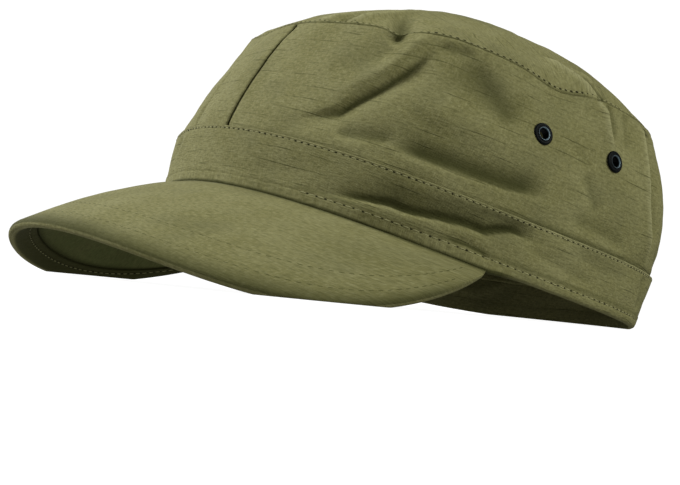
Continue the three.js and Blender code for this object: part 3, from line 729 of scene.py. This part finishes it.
def clothMaterial(name, base, wornAndLit, deep, bump, lines):
    material, tree, shader = newMaterial(name, 0.9)
    shader.inputs["Specular IOR Level"].default_value = 0.06
    cloth = tree.nodes.new("ShaderNodeUVMap")
    cloth.uv_map = "cloth"
    # the per-point tone read here is wear together with painted shade and painted highlights
    wearAndPaintedLight = tree.nodes.new("ShaderNodeAttribute")
    wearAndPaintedLight.attribute_name = "wearAndPaintedLight"
    weave = placeGroup(tree, ripstop, Cloth=cloth.outputs[0], Ripstop=lines)
    dye = placeGroup(tree, dyeAndPaintedLight, Cloth=cloth.outputs[0], Wear=wearAndPaintedLight.outputs["Fac"], Lines=weave["Lines"],
                     Base=(*base, 1), Worn=(*wornAndLit, 1), Deep=(*deep, 1))
    feed(tree, shader.inputs["Base Color"], dye["Colour"])
    raised = tree.nodes.new("ShaderNodeBump")
    raised.inputs["Strength"].default_value = 1.0
    raised.inputs["Distance"].default_value = bump
    feed(tree, raised.inputs["Height"], weave["Height"])
    feed(tree, shader.inputs["Normal"], raised.outputs[0])
    return material


def plainMaterial(name, colour, roughness, metallic, grain, change, specular=0.1):
    material, tree, shader = newMaterial(name, roughness, metallic)
    shader.inputs["Specular IOR Level"].default_value = specular
    place = tree.nodes.new("ShaderNodeTexCoord").outputs["Object"]
    fleck = span(tree, speckle(tree, place, grain, 3), 0.35, 0.75)
    other = tuple(min(1, c * change) for c in colour)
    feed(tree, shader.inputs["Base Color"], blendColour(tree, fleck, (*colour, 1), (*other, 1)))
    feed(tree, shader.inputs["Roughness"], span(tree, fleck, 0, 1, roughness, min(1, roughness * 1.35)))
    return material


capCloth = clothMaterial("capCloth", finish["cloth"], finish["wornAndLit"], finish["deep"], 0.00026, 1)
peakCloth = clothMaterial("peakCloth", finish["cloth"], finish["wornAndLit"], finish["deep"], 0.00022, 0.05)
liningCloth = clothMaterial("liningCloth", finish["lining"], finish["cloth"], finish["deep"], 0.00015, 0.3)
threadFinish = plainMaterial("sewingThread", finish["thread"], 0.75, 0, 2500, 0.7)
sunkenThread = plainMaterial("sunkenThread", finish["sunken"], 0.85, 0, 2500, 1.4)
holeShadeFinish = plainMaterial("needleHoleShade", finish["hole"], 0.95, 0, 900, 1.5)
blackFinish = plainMaterial("eyeletBlack", finish["black"], 0.34, 0, 1400, 1.8, specular=0.025)
rimFinish = plainMaterial("eyeletWornRim", finish["rim"], 0.34, 0.8, 1400, 0.6)
print("materials made")


def newPiece(bm, name, *materials):
    mesh = bpy.data.meshes.new(name)
    bm.to_mesh(mesh)
    bm.free()
    for material in materials:
        mesh.materials.append(material)
    piece = bpy.data.objects.new(name, mesh)
    bpy.context.scene.collection.objects.link(piece)
    return piece


# cloth pieces: a grid moved by a place function, which gives points, places on the cloth and its tone: wear
# together with painted shade and painted highlights
def clothPiece(name, columns, rows, place, closed=False, capped=False, holes=(), inward=0.0,
               material=capCloth):
    bm = bmesh.new()
    bmesh.ops.create_grid(bm, x_segments=columns, y_segments=rows, size=0.5)
    start = np.array([v.co for v in bm.verts])
    low, high = start.min(0), start.max(0)
    share = (start - low)[:, :2] / (high - low)[:2]
    point, cloth, wearAndPaintedLight = place(share[:, 0], share[:, 1])
    point = lieDown(point) * millimetre
    uv = bm.loops.layers.uv.new("cloth")
    shade = bm.verts.layers.float.new("wearAndPaintedLight")
    for vert, spot, amount in zip(bm.verts, point.tolist(), np.clip(wearAndPaintedLight, 0, 1).tolist()):
        vert.co = spot
        vert[shade] = amount
    cloth = (cloth * millimetre).tolist()
    bm.verts.index_update()
    for face in bm.faces:
        face.smooth = True
        for loop in face.loops:
            loop[uv].uv = cloth[loop.vert.index]
    for centre, radius in holes:
        near = [f for f in bm.faces if (f.calc_center_median() - centre).length < radius]
        bmesh.ops.delete(bm, geom=near, context="FACES")
    if closed:
        bmesh.ops.remove_doubles(bm, verts=bm.verts[:], dist=2e-6)
    if capped:
        bmesh.ops.holes_fill(bm, edges=[e for e in bm.edges if e.is_boundary], sides=0)
    bm.normal_update()
    if inward == 0:
        bmesh.ops.recalc_face_normals(bm, faces=bm.faces[:])
    else:
        middle = Vector((0, 0.03, 0.06))
        facing = sum((f.normal.dot(f.calc_center_median() - middle) * f.calc_area()) for f in bm.faces)
        if facing < 0:
            bmesh.ops.reverse_faces(bm, faces=bm.faces[:])
    piece = newPiece(bm, name, material)
    if inward:
        shell = piece.modifiers.new("clothThickness", "SOLIDIFY")
        shell.thickness = inward * millimetre
        shell.offset = -1
        shell.use_even_offset = True
    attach(piece, "root")
    return piece


def splined(values, count):
    values = np.array(values)
    n = len(values)
    t = np.linspace(0, n, count + 1)[:-1]
    i = np.floor(t).astype(int)
    f = t - i
    a, b, c, d = (values[(i + k) % n] for k in (-1, 0, 1, 2))
    square, cube = 2 * a - 5 * b + 4 * c - d, 3 * b - a - 3 * c + d
    return 0.5 * (2 * b + (c - a) * f + square * f ** 2 + cube * f ** 3)


sectionRise, sectionOut = (splined(column, band["rows"]) for column in zip(*bandSection))


def bandPlace(u, v):
    step = np.round(v * band["rows"]).astype(int)
    row = step % band["rows"]
    rise, out = sectionRise[row], sectionOut[row]
    angle = 2 * math.pi * u
    free = ease(28, 40, degreesFromFront(angle))
    out = out - 0.22 * (1 - free) * ease(0.02, 0.08, rise) * (1 - ease(0.21, 0.24, rise)) * (out > 0)
    x, y = np.degrees(angle) * band["across"], rise * band["height"]
    loose = ease(0.1, 0.3, rise) * (1 - ease(0.8, 0.95, rise))
    ring = np.stack([np.cos(angle) * 40, np.sin(angle) * 40], -1)
    small = 0.35 * rumple(ring[..., 0] * 2, ring[..., 1] * 2 + y, 9, 2.2) * loose
    pucker = 0.22 * rumple(ring[..., 0] * 2.3, ring[..., 1] * 2.3, 2.6, 7.9) * (1 - loose)
    point = bandPoint(angle, rise, out + small + pucker)
    # a painted highlight along the band's top edge, stronger where it stands off the wall; darker along the
    # hem's edge; painted shade where the band comes down on the peak, and the folds' painted shade
    litTopEdge = bell((1 - rise) * band["height"], 1.1) * mix(0.35, 1, bandGap(angle))
    hemLine = bell((rise - band["hemLine"]) * band["height"], 0.8) * free
    tone = bandField(angle, rise)[1]
    section = np.cumsum(np.hypot(np.diff(sectionRise, prepend=sectionRise[0]) * band["height"],
                                 np.diff(sectionOut, prepend=sectionOut[0])))
    lengths = np.append(section, section[-1])[step]
    shadeOnPeak = np.minimum(overPeak(angle), 1) * (1 - ease(0.025, 0.065, rise))
    wearAndPaintedLight = 0.5 + 0.5 * tone + 0.4 * litTopEdge - 0.3 * hemLine - 0.5 * shadeOnPeak
    return point, np.stack([x, lengths], -1), wearAndPaintedLight


# eyelets
eyelet = {"hole": 3.2, "rimInner": 2.12, "rimOuter": 2.5,
          "places": [("Front", 86.6, 0.585), ("Rear", 108.9, 0.605)]}
# the turned section: distance from the axis, and height over the cloth
eyeletOutline = [(2.0, -2.4), (2.0, 0.3), (2.05, 0.62), (2.2, 0.88), (2.45, 0.98), (2.72, 0.9), (2.9, 0.72),
                 (3.05, 0.74), (3.4, 0.84), (3.75, 0.78), (4.0, 0.6), (4.12, 0.35), (4.12, 0.15),
                 (3.95, 0.05), (2.9, 0.05), (2.6, -0.2), (2.6, -1.9), (3.7, -2.0), (3.7, -2.4)]


def eyeletFrame(angle, height):
    def at(a, h):
        return Vector(lieDown(wallPoint(np.array([a]), np.array([h]), np.zeros(1), pushed=False))[0])
    step = 0.02
    around = at(angle + step, height) - at(angle - step, height)
    upward = at(angle, height + step) - at(angle, height - step)
    normal = around.cross(upward).normalized()
    push = wallPush(np.degrees(np.array([angle])), np.array([height]))[0]
    centre = at(angle, height) + normal * float(push)
    turn = Vector((0, 0, 1)).rotation_difference(normal)
    return Matrix.Translation(centre * millimetre) @ turn.to_matrix().to_4x4() @ Matrix.Scale(millimetre, 4)


def makeEyelet(name, place, node):
    bm = bmesh.new()
    ring = [bm.verts.new((radius, 0, up)) for radius, up in eyeletOutline]
    edges = [bm.edges.new((a, b)) for a, b in zip(ring, ring[1:] + ring[:1])]
    bmesh.ops.spin(bm, geom=ring + edges, cent=(0, 0, 0), axis=(0, 0, 1), angle=2 * math.pi, steps=48,
                   use_merge=True, use_duplicate=False)
    bmesh.ops.remove_doubles(bm, verts=bm.verts[:], dist=1e-4)
    bmesh.ops.recalc_face_normals(bm, faces=bm.faces[:])
    for face in bm.faces:
        face.smooth = True
        centre = face.calc_center_median()
        onRim = eyelet["rimInner"] < centre.xy.length < eyelet["rimOuter"]
        face.material_index = int(onRim and centre.z > 0.2)
    bm.transform(place)
    piece = newPiece(bm, name, blackFinish, rimFinish)
    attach(piece, "root")
    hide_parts(node)


frames = []
for sideName, sign in (("Left", 1), ("Right", -1)):
    for spot, angle, height in eyelet["places"]:
        place = eyeletFrame(math.radians(angle) * sign, height)
        frames.append(place)
        makeEyelet(f"eyelet{sideName}{spot}", place, f"eyelet_{sideName.lower()}_{spot.lower()}")
print("eyelets made")


def sewn(nodes):
    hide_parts(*nodes)


holes = [(place.translation, eyelet["hole"] * millimetre) for place in frames]
crownWall = clothPiece("crownWall", wall["columns"], wall["rows"], wallPlace, holes=holes,
                       inward=wall["thickness"])
sewn(["crown_wall"])
frontPanel = clothPiece("frontPanel", pleat["columns"], wall["rows"], panelPlace, inward=wall["thickness"])
sewn(["front_panel"])
crownTop = clothPiece("crownTop", dome["columns"], dome["rows"], domePlace, closed=True,
                      inward=dome["thickness"])
sewn(["crown_top"])
print("crown made")

headband = clothPiece("headband", band["columns"], band["rows"], bandPlace, closed=True)
sewn(["band"])
boardCount = len(boardRows(np.array([0.0]))[0])
peakBoard = clothPiece("peakBoard", peak["columns"], boardCount - 1, boardPlace, capped=True,
                       material=peakCloth)
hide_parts("peak_board")
peakLining = clothPiece("peakLining", lining["columns"], lining["rows"], liningPlace,
                        inward=-lining["thickness"], material=liningCloth)
sewn(["peak_lining"])
print("headband and peak made")


# stitches: short threads with a dark dot between each two, painted shade for the needle hole
stitch = {"pitch": 3.5, "gap": 0.9, "wide": 0.5, "high": 0.34, "hole": 0.34, "wobble": 0.06, "lookAhead": 0.8,
          "holeVaries": 0.4, "holeLift": 0.06, "holeShape": (1.3, 1, 0.3, 1)}


def stitchRow(name, samples, bury, pitch=stitch["pitch"], hole=stitch["hole"], thread=threadFinish):
    bm = bmesh.new()
    points, normals = samples
    lengths = np.concatenate([[0], np.cumsum(np.linalg.norm(np.diff(points, axis=0), axis=1))])
    count = max(1, int(lengths[-1] / pitch))

    def at(where, values):
        return Vector([float(np.interp(where, lengths, values[:, k])) for k in range(3)])

    for i, where in enumerate((np.arange(count) + 0.5) * lengths[-1] / count):
        spot = at(where, points)
        near = stitch["lookAhead"]
        along = (at(where + near, points) - at(where - near, points)).normalized()
        side = at(where, normals).normalized().cross(along).normalized()
        normal = along.cross(side)
        basis = Matrix((along, side, normal)).transposed()
        wobble = stitch["wobble"] * noise.noise(Vector((i * 1.37, len(name), 0.5)))
        size = Matrix.Diagonal(((pitch - stitch["gap"]) / 2, stitch["wide"] / 2, stitch["high"] / 2, 1))
        place = Matrix.Translation(spot - normal * bury + side * wobble) @ basis.to_4x4() @ size
        bmesh.ops.create_uvsphere(bm, u_segments=6, v_segments=6, radius=1,
                                  matrix=place @ Matrix.Rotation(math.pi / 2, 4, "Y"))
        if hole == 0:
            continue
        between = at(where + lengths[-1] / count / 2, points)
        before = len(bm.faces)
        radius = hole * (1 + stitch["holeVaries"] * noise.noise(Vector((i * 0.83, 2.5, len(name)))))
        flat = Matrix.Translation(between + normal * stitch["holeLift"]) @ basis.to_4x4()
        flat = flat @ Matrix.Diagonal(stitch["holeShape"])
        bmesh.ops.create_uvsphere(bm, u_segments=6, v_segments=4, radius=radius, matrix=flat)
        bm.faces.ensure_lookup_table()
        for face in bm.faces[before:]:
            face.material_index = 1
    for face in bm.faces:
        face.smooth = True
    bm.transform(Matrix.Scale(millimetre, 4))
    piece = newPiece(bm, name, thread, holeShadeFinish)
    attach(piece, "root")


# points and outward normals along a row, from the surface function that the cloth itself uses
def surfaceRow(surface, a, b, across):
    point = lieDown(surface(a, b))
    alongA = lieDown(surface(a + 1e-3, b)) - lieDown(surface(a - 1e-3, b))
    alongB = lieDown(surface(a, b + across)) - lieDown(surface(a, b - across))
    normal = np.cross(alongA, alongB)
    return point, normal / np.linalg.norm(normal, axis=-1, keepdims=True)


def bandSurface(angle, rise):
    outside = len(sectionRise) * band["outsideRows"] // len(bandSection)
    return bandPoint(angle, rise, np.interp(rise, sectionRise[:outside], sectionOut[:outside]))


def topSurface(angle, share):
    return domePoint(angle, share)[0]


def peakTop(across, share):
    return peakPoint(across, share, peak["half"] + peakDents(across, share, peakReach(across)))


def peakUnder(across, share):
    return peakPoint(across, share, np.full_like(across, -peak["half"]))


fullTurn = np.linspace(0, 2 * math.pi, 1200)
besidePeak = np.radians(np.linspace(36, 324, 1000))
hemRise = np.full_like(besidePeak, band["hemStitch"] / band["height"])
topRise = np.full_like(fullTurn, 1 - band["topStitch"] / band["height"])
stitchRow("hemStitches", surfaceRow(bandSurface, besidePeak, hemRise, 0.01), -0.04)
stitchRow("bandTopStitches", surfaceRow(bandSurface, fullTurn, topRise, 0.01), -0.05, 2.7)
for label, start, end, hole in (("topSeamStitchesSide", 47, 96, 0.46), ("topSeamStitches", 96, 407, 0.26)):
    turn = np.radians(np.linspace(start, end, 1200))
    stitchRow(label, surfaceRow(topSurface, turn, np.full_like(turn, 0.99), -0.01), 0.05, 2.6, hole)
sunkenLook = {"bury": 0.08, "hole": 0, "thread": sunkenThread}
for label, surface, fromEdge, upward, look in (
        ("peakEdgeStitches", peakTop, peak["edgeStitch"], 1, sunkenLook),
        ("peakInnerStitches", peakTop, peak["innerStitch"], 1, sunkenLook),
        ("peakUnderStitches", peakUnder, peak["underStitch"], -1, {"bury": 0.1, "pitch": 3})):
    across = np.linspace(-peak["stitchTip"], peak["stitchTip"], 700)
    points, normals = surfaceRow(surface, across, 1 - fromEdge / peakReach(across), 0.01)
    stitchRow(label, (points, normals * np.sign(normals[:, 2:3]) * upward), **look)
print("stitches made")


# stage and light
stage = {"world": 0.46, "backdrop": 1.05, "floorGlow": 0.3, "floorSeen": 0.97, "lightsAim": (0, 0, 0.06)}
lights = [
    {"name": "keyLight", "place": (-0.6, -1.05, 0.95), "size": 0.6, "power": 25, "colour": (1, 1, 1.08)},
    {"name": "fillLight", "place": (1.1, 0.65, 0.9), "size": 1.0, "power": 18, "colour": (1, 1, 0.97)},
    {"name": "rimLight", "place": (-1.1, -0.3, 0.45), "size": 0.7, "power": 6, "colour": (1, 1, 1.05)},
]
for light in lights:
    lamp = bpy.data.lights.new(light["name"], "AREA")
    lamp.shape = "DISK"
    lamp.size = light["size"]
    lamp.energy = light["power"]
    lamp.color = light["colour"]
    holder = bpy.data.objects.new(light["name"], lamp)
    holder.location = light["place"]
    heading = Vector(stage["lightsAim"]) - Vector(light["place"])
    holder.rotation_euler = heading.to_track_quat("-Z", "Y").to_euler()
    bpy.context.scene.collection.objects.link(holder)


def makeStage():
    bm = bmesh.new()
    bmesh.ops.create_grid(bm, x_segments=1, y_segments=1, size=4)
    material, tree, shader = newMaterial("paleFloor", 0.9)
    floor = newPiece(bm, "floor", material)
    floor.location = (0, 0, -0.0002)
    shader.inputs["Base Color"].default_value = (0.1, 0.1, 0.1, 1)
    shader.inputs["Emission Color"].default_value = (1, 1, 1, 1)
    seen = tree.nodes.new("ShaderNodeLightPath").outputs["Is Camera Ray"]
    glow = span(tree, seen, 0, 1, stage["floorGlow"], stage["floorSeen"])
    feed(tree, shader.inputs["Emission Strength"], glow)
    world = bpy.data.worlds.new("studio")
    bpy.context.scene.world = world
    world.use_nodes = True
    tree = world.node_tree
    background = tree.nodes["Background"]
    background.inputs["Color"].default_value = (1, 1, 1, 1)
    seen = tree.nodes.new("ShaderNodeLightPath").outputs["Is Camera Ray"]
    feed(tree, background.inputs["Strength"], span(tree, seen, 0, 1, stage["world"], stage["backdrop"]))
    bpy.context.scene.view_settings.view_transform = "Standard"


makeStage()
print("stage and light set")
